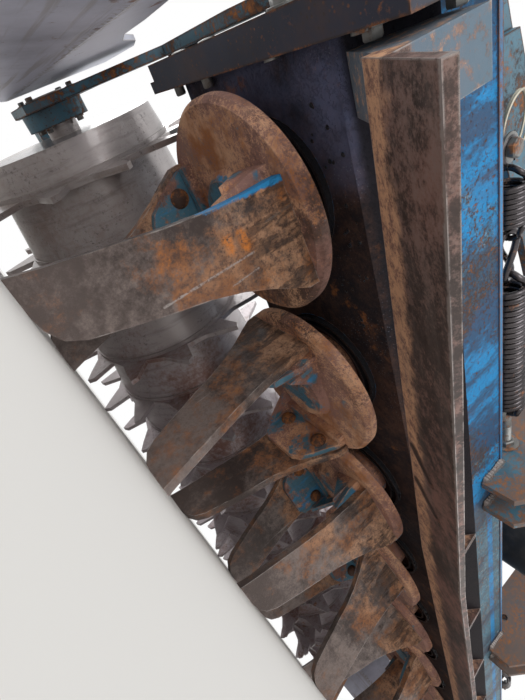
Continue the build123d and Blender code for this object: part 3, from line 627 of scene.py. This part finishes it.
class HARROW_OT_rotors(bpy.types.Operator):
    """Rusty rotor castings, worn tines, and the bolts and welds that hold the tines"""

    bl_idname = "harrow.rotors"
    bl_label = "Rotors and tines"
    azimuths = (102, 3, 72, 33, 54, 68, 5, 83)  # how far each rotor is turned, in degrees
    fin = 0.0485  # where the holder's fin stands beside the tine
    beads = (  # start, end, thickness, side it faces (along, out, up), seed
        ((-0.074, FORK, DISC), (0.053, FORK, DISC), 1.0, (0, -1, -1), 0),
        ((fin, 0.0855, DISC - 0.054), (fin, 0.0855, DISC - 0.004), 0.9, (-1, -1, 0), 2),
        ((fin, 0.056, DISC), (fin, 0.084, DISC), 0.9, (-1, 0, -1), 5),
    )

    def spot(self, number, turn, x, y, z):
        """A point of a rotor: (x, y) turned about its axis by the tine's azimuth, at height z."""
        angle = math.radians(self.azimuths[number - 1] - 90 + turn)
        x = -x if number % 2 else x  # odd rotors turn the other way, so their tines are mirrored
        return place((number - 4.5) * PITCH + math.cos(angle) * x - math.sin(angle) * y,
                     math.sin(angle) * x + math.cos(angle) * y, z)

    def execute(self, context):
        sizes = context.scene.harrow_sizes
        tine, cast = tine_steel(), rotor_casting()
        rusty = bare_steel("tine_bolt_rusty", "brown", 0.44, 0.6, 0.35)
        for number in range(1, 9):
            dress(tine, f"rotor_{number}_tines")
            dress(cast, f"rotor_{number}_holder")
            bolts, plugs, welds = Skin(), Skin(), Skin()
            for turn in (0, 180):
                at = partial(self.spot, number, turn)
                ways = np.array((at(1, 0, 0) - at(0, 0, 0), at(0, 1, 0) - at(0, 0, 0), UP))
                for x in (-0.044, 0.032):
                    head = at(x, FORK, DISC - 0.029)
                    bolts.dome_head(head, -ways[1], sizes.tine_head, 0.0085)
                    r = sizes.tine_bolt
                    plugs.lathe([(0, 0), (r, 0), (r, 0.0277), (0, 0.0277)], head, ways[1], 24)
                for start, end, thick, facing, seed in self.beads:
                    welds.bead(at(*start), at(*end), sizes.weld * thick, facing @ ways, seed=number + seed)
            bolts.make(f"rotor_{number}_bolts", rusty, f"rotor_{number}", "tine_steel")
            plugs.make(f"rotor_{number}_bolt_ends", tine, f"rotor_{number}", "tine_steel")
            welds.make(f"rotor_{number}_welds", cast, f"rotor_{number}", "rotor_cast")
        return {"FINISHED"}


class HARROW_OT_trough(bpy.types.Operator):
    """Trough, its cover and end plates, with the cover's bolts along both edges"""

    bl_idname = "harrow.trough"
    bl_label = "Trough and end plates"

    def execute(self, context):
        bolt = context.scene.harrow_sizes.bolt
        under = trough_paint()
        dress(under, "trough")
        dress(painted("cover_paint", "sky", "brown", 0.56, 0.42, grime=0.6), "trough_cover")
        dress(painted("end_plate_paint", "navy", "dark", 0.50, shift=2), "end_plate_right", "end_plate_left")
        zinc = bare_steel("frame_bolt_zinc", rust=0.52)
        cover = Skin()
        for side in (-1, 1):
            for x in np.arange(-1.15, 1.16, 0.1):
                if side < 0 or not 0.36 < abs(x) < 0.47:  # the link plates stand on the front edge there
                    cover.hex_head(place(x, side * 0.176, COVER), UP, 0.0072, 0.0052, turn=x * 7)
        cover.make("cover_bolts", zinc)
        for word, side in SIDES:
            out, inward = (side, 0, 0), (-side, 0, 0)
            ends = Skin()
            for y in (-0.15, -0.075):  # low heads, so that the roller's arms clear them
                ends.dome_head(place(side * BAR, y, 0.353), out, bolt, 0.0024)
            for y in (0.075, 0.16, 0.215):
                ends.hex_head(place(side * BAR, y, 0.353), out, bolt, 0.009, turn=y * 9)
            for y, z in ((-0.17, 0.45), (-0.17, 0.49), (0.17, 0.45), (0.17, 0.49), (0.09, 0.49),
                         (-0.09, 0.49)):
                ends.hex_head(place(side * (END + 0.015), y, z), out, 0.009, 0.008, turn=y * 9)
            for y, z in ((0.185, 0.345), (0.225, 0.400), (0.225, 0.470)):
                ends.hex_head(place(side * END, y, z), inward, 0.0095, 0.009, turn=y * 5)
            for y, r, high in ((-0.143, 0.007, 0.011), (-0.066, 0.007, 0.011), (0.067, 0.008, 0.003),
                               (0.185, 0.008, 0.003)):
                ends.lathe([(0, -0.001), (r, -0.001), (r, high * 0.85), (r * 0.8, high), (0, high)],
                           place(side * END, y, 0.331), inward, 14)
            ends.make(f"end_bolts_{word}", zinc)
        self.spatter().make("weld_spatter", under, slot="blue_paint")
        return {"FINISHED"}

    def spatter(self):
        """Drops of weld under the trough's right end: half balls of random size at random places."""
        drops, chance = Skin(), np.random.default_rng(7)
        spans = (0.86, 1.15), (0.078, 0.136), (0.0012, 0.0030)
        for x, y, r in zip(*[chance.uniform(low, high, 34) for low, high in spans]):
            drops.dome_head(place(x, y, FLOOR), -UP, r, r * 0.8)
        return drops


class HARROW_OT_front_bar(bpy.types.Operator):
    """Front bar with the welds of its hangers"""

    bl_idname = "harrow.front_bar"
    bl_label = "Front bar"

    def execute(self, context):
        steel = front_bar_steel()
        dress(steel, "front_bar")
        welds = Skin()
        for x in np.linspace(-1.125, 0.310, 5):
            for side in (-1, 1):
                at = x + side * 0.006
                welds.bead(place(at, 0.166, 0.3135), place(at, 0.210, 0.2995), 0.004, (side, 0, 1), seed=x)
        welds.make("front_bar_welds", steel, slot="worn_steel")
        return {"FINISHED"}


class HARROW_OT_headstock(bpy.types.Operator):
    """Beam, mast, braces and link plates in old blue paint, with their welds"""

    bl_idname = "harrow.headstock"
    bl_label = "Headstock"
    link_faces = ((-1, 0.3725), (1, 0.3875), (-1, 0.4475), (1, 0.4625))  # both faces of each link plate
    mast_faces = (0.026, 0.041)

    def execute(self, context):
        weld = context.scene.harrow_sizes.weld
        blue = painted("headstock_paint", "sky", "brown", 0.56, 0.4, grime=0.35, shift=5)
        dress(blue, "headstock_beam", "headstock_mast", "headstock_braces")
        dress(painted("link_plate_paint", "teal", tint("steel", 0.72), 0.36, grime=0.75, shift=8),
              "link_plates_right", "link_plates_left")
        welds, silver = Skin(), Skin()
        for side in (-1, 1):
            for inner, x in self.link_faces:
                face = (inner * side, 0, 0)
                silver.bead(place(side * x, 0.2035, 0.442), place(side * x, 0.2035, 0.507), weld * 1.6,
                            (inner * side, 1, 0), 0.006, seed=x)
                for z, y in ((0.5095, 0.200), (0.8085, 0.212)):
                    welds.bead(place(side * x, 0.146, z), place(side * x, y, z), weld, face, seed=x)
            for x in self.mast_faces:
                welds.bead(place(side * x, 0.116, 0.911), place(side * x, 0.208, 0.911), weld, (side, 0, 0))
        welds.make("headstock_welds", blue, slot="blue_paint")
        silver.make("link_plate_welds", bare_steel("weld_silver", "worn", 0.60, 0.34, 0.7))
        return {"FINISHED"}


class HARROW_OT_drive(bpy.types.Operator):
    """Gearbox in cast blue, its bolts, plugs and ribs, the splined input shaft and its guard"""

    bl_idname = "harrow.drive"
    bl_label = "Gearbox, shaft and guard"

    def execute(self, context):
        cast = painted("gearbox_paint", "sky", "dark", 0.60, grain=0.35, grime=0.45, shift=9)
        dress(cast, "gearbox")
        dress(moulded("guard_black", "guard"), "shaft_guard")
        self.bolts().make("gearbox_bolts", bare_steel("gearbox_bolt_zinc", rust=0.55))
        self.ribs().make("gearbox_ribs", cast, slot="cast_blue")
        bright = bare_steel("shaft_bright", "zinc", 0.60, 0.32, 0.9)
        shaft = self.shaft().make("splined_shaft", bright, "input_shaft", smooth=30)
        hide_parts("input_shaft")
        return {"FINISHED"}

    def bolts(self):
        """Bolts round the gearbox's foot and both bearing covers, its two plugs and the breather."""
        foot, top = 0.530, 0.738
        bolts = Skin()
        long_sides = [(at, side * 0.147, at) for side in (-1, 1) for at in np.linspace(-0.150, 0.150, 5)]
        short_sides = [(side * 0.162, at, at) for side in (-1, 1) for at in np.linspace(-0.10, 0.10, 3)]
        for x, y, at in long_sides + short_sides:
            bolts.hex_head(place(x, y, foot), UP, 0.008, 0.007, turn=at * 11)
        for angle in np.radians(np.arange(30, 390, 60)):
            for r, y, way in ((0.051, -0.161, (0, -1, 0)), (0.060, 0.165, (0, 1, 0))):
                at = place(r * math.cos(angle), y, SHAFT_Z + r * math.sin(angle))
                bolts.hex_head(at, way, 0.0058, 0.006, turn=angle)
        bolts.hex_head(place(0.08, 0.06, top), UP, 0.011, 0.010)
        bolts.hex_head(place(0.150, -0.07, 0.62), (1, 0, 0), 0.011, 0.009)
        breather = [(0, 0), (0.009, 0), (0.009, 0.012), (0.014, 0.013), (0.014, 0.024), (0.009, 0.029),
                    (0, 0.029)]
        bolts.lathe(breather, place(-0.07, -0.03, top), UP, 20)
        return bolts

    def ribs(self):
        """Two ribs on each side of the gearbox, tapering upwards."""
        outline = [(0, 0), (0.02436, 0), (0.02436, 0.012), (0.00504, 0.112), (0, 0.112)]
        thick, foot = 0.008, 0.5295
        ribs = Skin()
        for side in (-1, 1):
            for x in (-0.094, 0.086):
                ribs.slab(outline, place(x, side * 0.1345, foot), (0, side, 0), UP, (thick, 0, 0))
            for y in (-0.074, 0.066):
                ribs.slab(outline, place(side * 0.1495, y, foot), (side, 0, 0), UP, (0, thick, 0))
        return ribs

    def shaft(self):
        """Splined shaft: r(a) = 15.6 mm + 1.7 mm*clip(3*cos(6a), -1, 1), smooth in its groove and collar."""
        low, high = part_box("input_shaft")
        # Each row: share of the shaft's length, then 1 and a factor on the splines, or 0 and a radius.
        h, tooth, size = np.array((
            (0, 0, 0), (0.002, 0, 0.0172), (0.28, 0, 0.0172), (0.30, 1, 1), (0.52, 1, 1), (0.54, 0, 0.0150),
            (0.62, 0, 0.0150), (0.64, 1, 1), (0.94, 1, 1), (0.975, 1, 0.985), (0.998, 0, 0.0140), (1, 0, 0),
        )).T[:, :, None]
        a = around(144)
        wave = 0.0156 + 0.0017 * np.clip(3 * np.cos(6 * a), -1, 1)
        r = tooth * wave * size + (1 - tooth) * size
        along = np.broadcast_to(h * (high.y - low.y), r.shape)
        skin = Skin()
        skin.grid(np.stack([r * np.cos(a), along, r * np.sin(a)], -1)
                  + np.array(((low.x + high.x) / 2, low.y, (low.z + high.z) / 2)), wrap_v=True)
        return skin


class HARROW_OT_roller(bpy.types.Operator):
    """Soil-polished roller drum and tooth rings, the roller frame and its scrapers"""

    bl_idname = "harrow.roller"
    bl_label = "Roller and scrapers"

    def execute(self, context):
        weld = context.scene.harrow_sizes.weld
        for node, shift, rusty in (("roller_drum", 1, 0.56), ("roller_teeth", 4, 0.58)):
            dress(soil_polished(f"{node}_polished", shift, rusty), node)
        for node, left, shift in (("roller_frame", 0.48, 3), ("scraper_bar", 0.46, 6)):
            dress(painted(f"{node}_paint", "teal", "dark", left, shift=shift), node)
        blade = bare_steel("scraper_steel", "steel", 0.50, 0.45, 0.6, 90)
        dress(blade, "scrapers")
        bolts, welds = Skin(), Skin()
        for number in range(18):
            for side in (-1, 1):
                at = (number - 8.5) * RINGS + side * 0.026
                bolts.hex_head(place(at, -0.819, 0.323), UP, 0.0066, 0.006, turn=number)
        for side in (-1, 1):
            for angle in np.radians((45, 135, 225, 315)):
                for x, r, way in ((1.209, 0.044, -side), (1.254, 0.055, side)):
                    at = place(side * x, ROLLER_Y + r * math.cos(angle), ROLLER_Z + r * math.sin(angle))
                    bolts.hex_head(at, (way, 0, 0), 0.0062, 0.006, turn=angle)
            for z, way in ((0.4405, -1), (0.4895, 1)):
                welds.bead(place(side * 1.2385, -0.310, z), place(side * 1.2385, -0.264, z), weld,
                           (-side, 0, way))
        bolts.make("roller_bolts", bare_steel("roller_bolt_zinc"), "roller_frame")
        welds.make("roller_frame_welds", blade, "roller_frame", "frame_brown")
        return {"FINISHED"}


class HARROW_OT_side_plates(bpy.types.Operator):
    """Grey side plates, the arms that carry them, their bolts, pivot washers and the tie wire"""

    bl_idname = "harrow.side_plates"
    bl_label = "Side plates and arms"

    def execute(self, context):
        dress(side_sheet(), "side_plate_right", "side_plate_left")
        arms = painted("side_arm_paint", "teal", "dark", 0.49, 0.48, shift=4)
        dress(arms, "side_arm_right", "side_arm_left")
        zinc = bare_steel("side_bolt_zinc")
        for word, side in SIDES:
            bolts, pivot = Skin(), Skin()
            for y, z in ((0.130, 0.222), (0.162, 0.222), (0.146, 0.262)):
                bolts.dome_head(place(side * 1.272, y, z), (-side, 0, 0), 0.010, 0.006)
                bolts.hex_head(place(side * 1.290, y, z), (side, 0, 0), 0.0085, 0.008, turn=y * 40)
            bolts.hex_head(place(side * 1.020, 0.1881, SPRING_Z), (0, 1, 0), 0.0125, 0.010)
            bolts.make(f"side_plate_bolts_{word}", zinc, f"side_plate_{word}")
            for y, way in ((0.1631, 1), (0.1289, -1)):
                pivot.hex_head(place(side * 0.600, y, 0.765), (0, way, 0), 0.0165, 0.010)
            pivot.make(f"side_pivot_{word}", zinc)
        pale = bare_steel("tie_wire_pale", "wire", 0.7, 0.4, 0.6)
        self.tie(context.scene.harrow_sizes.tie).make("tie_wire", pale, "side_plate_right", smooth=60)
        return {"FINISHED"}

    def tie(self, radius):
        """Two rounds of wire about the right spring's bolt.

        p(a) = c + 40 mm*cos(a)*d1 + (18 + 2*cos(a/2)) mm*sin(a)*d2 + 3 mm*cos(a/2)*y, for a up to two turns.
        """
        a = np.linspace(0, 2 * TURN, 140, endpoint=False)[:, None]
        long, wide = unit((0.70, -0.10, 0.70)), unit((-0.68, 0.25, 0.69))
        sway = np.cos(a / 2)
        path = place(1.040, 0.184, 0.566) + 0.040 * np.cos(a) * long
        path = path + (0.018 + 0.002 * sway) * np.sin(a) * wide + 0.003 * sway * np.array((0, 1, 0))
        skin = Skin()
        skin.sweep(path, radius, closed=True)
        return skin


class HARROW_OT_springs(bpy.types.Operator):
    """Two tension springs on each side with the link between them, and the eye bolt they pull on"""

    bl_idname = "harrow.springs"
    bl_label = "Springs and eye bolts"
    sides = 10  # of the round wire

    def coil(self, x0, x1, radius, wire, turns):
        """Tension spring along X with half-loop ends.

        Its middle is a helix: x grows evenly while the angle turns. Each end is half a turn of the same
        circle whose plane tips from square to the axis to along it within 50 degrees, which makes the hook.
        """
        r = radius - wire
        start, end = x0 + radius, x1 - radius
        body = np.linspace(0, TURN * turns, turns * 28 + 1)
        x = start + (end - start) * body / body[-1]
        helix = np.stack([x, r * np.cos(body), r * np.sin(body)], 1)
        hook = np.radians(np.linspace(0, 196, 40))[1:]
        bent = np.clip(np.degrees(hook) / 50, 0, 1)
        tip = np.radians(90) * bent * bent * (3 - 2 * bent)
        out = np.stack([r * np.sin(hook) * np.sin(tip), r * np.cos(hook), r * np.sin(hook) * np.cos(tip)], 1)
        last = out + (end, 0, 0)
        first = (out * (-1, 1, -1) + (start, 0, 0))[::-1]
        ease = np.maximum(np.clip(1 - body / 0.6, 0, 1), np.clip((body - body[-1] + 0.6) / 0.6, 0, 1))
        turn = np.concatenate([np.ones(len(first)), ease, np.ones(len(last))])
        return np.vstack([first, helix, last]), np.stack([1 - turn, turn, 0 * turn], 1)

    def execute(self, context):
        sizes = context.scene.harrow_sizes
        black = bare_steel("spring_black", "spring", 0.58, 0.20, 0.85, 200)
        zinc = bare_steel("eye_bolt_steel", "zinc", 0.46, 0.42, 0.7)
        at = np.array((0.0, LINE + SPRING_Y, SPRING_Z))
        # The link is a figure of eight: p(a) = (x + 36.5 mm*sin(a), 5.2 mm*cos(a), 14 mm*sin(2a)).
        a = around(72)
        eight = np.stack([0.8723 + 0.0365 * np.sin(a), 0.0052 * np.cos(a), 0.0140 * np.sin(2 * a)], 1)
        hook = ring(1.0170, 0.0150, np.radians(np.linspace(-150, 150, 48)))
        for word, side in SIDES:
            flip = np.array((side, 1.0, 1.0))
            springs = Skin()
            for x0, x1, radius, wire, turns in ((0.545, 0.851, 0.029, sizes.wire_long, sizes.turns_long),
                                                (0.896, 1.0005, 0.025, sizes.wire_short, sizes.turns_short)):
                path, up = self.coil(x0, x1, radius, wire, turns)
                springs.sweep((path + at) * flip, wire, self.sides, up=up * flip)
            springs.sweep((eight + at) * flip, sizes.link_wire, self.sides, closed=True)
            springs.sweep((hook + at) * flip, sizes.wire_short, self.sides)
            piece = springs.make(f"tension_springs_{word}", black, None, "spring_steel", 60)
            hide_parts(f"springs_{word}")
            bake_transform(piece)
            self.eye(word, flip, at, zinc)
        return {"FINISHED"}

    def eye(self, word, flip, at, zinc):
        """Eye bolt: a ring on a threaded shank, r(h) = 8.2 mm + 0.7 mm*triangle(h/1.75 mm), with two nuts."""
        bolt = Skin()
        bolt.sweep((ring(0.5485, 0.0125, around(40)) + at) * flip, 0.0050, self.sides, closed=True)
        h = np.arange(0, 0.089, 0.000875)
        r = 0.0082 + 0.0007 * np.where(np.arange(len(h)) % 2, 1, -1)
        shank = [(0, 0), (0.0070, 0), *zip(r.tolist(), (h + 0.0012).tolist()), (0.0088, 0.092),
                 (0.0088, 0.108), (0.0062, 0.113), (0, 0.113)]
        axis = np.array((1.0, 0, 0)) * flip
        bolt.lathe(shank, (at + (0.4257, 0, 0)) * flip, axis, 20)
        for x, way in ((0.4628, 1), (0.4472, -1)):
            bolt.hex_head((at + (x, 0, 0)) * flip, way * axis, 0.0150, 0.012)
        piece = bolt.make(f"eye_bolt_threaded_{word}", zinc, smooth=30)
        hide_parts(f"eye_bolt_{word}")


class HARROW_OT_stage(bpy.types.Operator):
    """Pale floor, white background, soft lights and the camera under the front of the harrow"""

    bl_idname = "harrow.stage"
    bl_label = "Stage"
    lamps = (  # name, place, size, watts
        ("front_light", (3.2, 3.6, 1.1), 2.6, 75),
        ("left_light", (-3.6, 2.6, 1.4), 2.6, 30),
        ("rear_light", (2.4, -3.8, 2.0), 2.6, 50),
        ("top_light", (0.4, 0.6, 4.2), 3.2, 20),
    )
    aim = Vector((0.2, 0.1, 0.35))  # what the lamps point at

    def execute(self, context):
        context.scene.view_settings.view_transform = "Standard"
        self.floor()
        self.sky(context.scene)
        for name, spot, size, watts in self.lamps:
            lamp = bpy.data.lights.new(name, "AREA")
            lamp.shape, lamp.size, lamp.energy = "DISK", size, watts
            holder = bpy.data.objects.new(name, lamp)
            context.scene.collection.objects.link(holder)
            holder.location = spot
            holder.rotation_euler = (self.aim - Vector(spot)).to_track_quat("-Z", "Y").to_euler()
        self.camera(context.scene)
        return {"FINISHED"}

    def floor(self):
        """A flat square of 28 m with faint specks."""
        skin, u = Skin(), np.linspace(-14, 14, 9)
        skin.grid(np.stack([*np.meshgrid(u, u, indexing="ij"), np.zeros((9, 9))], -1))
        s = Shade("floor_pale")
        s.base = s.mix(s.noise(18, 5) * 0.06, "floor", (0.5, 0.5, 0.5))
        skin.make("floor", s.finish(0.85), None, None)

    def sky(self, scene):
        """White where it is seen, mirrored or seen through, and weaker where it lights matt surfaces."""
        scene.world = bpy.data.worlds.new("studio")
        w = Shade("studio", scene.world)
        kinds = ("Camera", "Glossy", "Transmission")
        rays = [w.node("LightPath", out=f"Is {kind} Ray") for kind in kinds]
        fill = scene.harrow_camera.fill
        strength = fill + (rays[0] | rays[1] | rays[2]) * (1.0 - fill)
        w.feed(w.shader, {"Strength": strength, "Color": (1, 1, 1, 1)})

    def camera(self, scene):
        view = scene.harrow_camera
        camera = bpy.data.cameras.new("camera")
        camera.lens, camera.sensor_width, camera.clip_start = view.lens, 36.0, 0.001
        camera.shift_x = view.shift
        holder = bpy.data.objects.new("camera", camera)
        scene.collection.objects.link(holder)
        look = Vector(view.look).normalized()
        right = look.cross(Vector(view.up)).normalized()
        turn = Matrix((right, right.cross(look), -look)).transposed()
        holder.matrix_world = Matrix.Translation(Vector(view.place)) @ turn.to_4x4()
        scene.camera = holder


STEPS = (
    HARROW_OT_stage,
    HARROW_OT_rotors,
    HARROW_OT_trough,
    HARROW_OT_front_bar,
    HARROW_OT_headstock,
    HARROW_OT_drive,
    HARROW_OT_roller,
    HARROW_OT_side_plates,
    HARROW_OT_springs,
)


class HARROW_PT_panel(bpy.types.Panel):
    """Lists the steps that build the harrow's finish, with its sizes and colours"""

    bl_idname = "HARROW_PT_panel"
    bl_label = "Power harrow"
    bl_space_type = "VIEW_3D"
    bl_region_type = "UI"
    bl_category = "Harrow"

    def draw(self, context):
        for step in STEPS:
            self.layout.operator(step.bl_idname)
        for name in GROUPS:
            column = self.layout.column()
            for key in GROUPS[name].__annotations__:
                column.prop(getattr(context.scene, name), key)


GROUPS = {"harrow_colours": HarrowColours, "harrow_sizes": HarrowSizes, "harrow_camera": HarrowCamera}


def register():
    for kind in (*GROUPS.values(), *STEPS, HARROW_PT_panel):
        bpy.utils.register_class(kind)
    for name, kind in GROUPS.items():
        setattr(bpy.types.Scene, name, PointerProperty(type=kind))


def unregister():
    for name in GROUPS:
        delattr(bpy.types.Scene, name)
    for kind in reversed((*GROUPS.values(), *STEPS, HARROW_PT_panel)):
        bpy.utils.unregister_class(kind)


def main():
    register()
    for step in STEPS:
        area, name = step.bl_idname.split(".")
        getattr(getattr(bpy.ops, area), name)()


if __name__ == "__main__":
    main()
